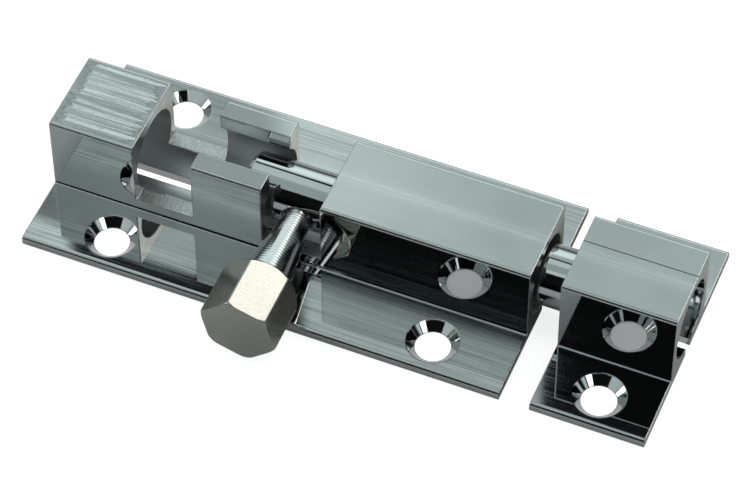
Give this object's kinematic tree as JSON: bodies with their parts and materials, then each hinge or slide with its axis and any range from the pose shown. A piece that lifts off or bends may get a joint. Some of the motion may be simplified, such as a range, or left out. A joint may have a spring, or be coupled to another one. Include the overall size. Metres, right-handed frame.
{
  "type": "barrel bolt latch",
  "caption": "Surface barrel bolt: a round bolt with a turn-down hexagonal knob slides in a slotted housing and shoots into a separate keeper.",
  "frame": {"origin": "centre of the housing's four screw holes, on its mounting face", "axes": "+X along the bolt from the housing to the keeper, +Y across it away from the turned-down knob, +Z away from the mounting face"},
  "size_m": [0.084, 0.0389, 0.0128],
  "materials": {
    "housing_chrome": "polished chrome plate with fine polishing lines along the bolt",
    "keeper_chrome": "polished chrome plate",
    "rod_chrome": "polished chrome plate",
    "stud_chrome": "plated, finely turned taper",
    "head_satin": "satin nickel-chrome plate"
  },
  "bodies": {
    "housing": {"housing": "housing_chrome"},
    "bolt": {"bolt_rod": "rod_chrome", "knob_stud": "stud_chrome", "knob_head": "head_satin"},
    "keeper": {"keeper": "keeper_chrome"}
  },
  "joints": [
    {"name": "bolt_turn", "type": "hinge", "parent": "housing", "child": "bolt", "pos_m": [0.0006, 0, 0.0064], "axis": [-1, 0, 0], "range_deg": [0, 180]},
    {"name": "keeper_take_off", "type": "slide", "parent": "housing", "child": "keeper", "axis": [1, 0, 0], "range_m": [0, 0.02]}
  ]
}
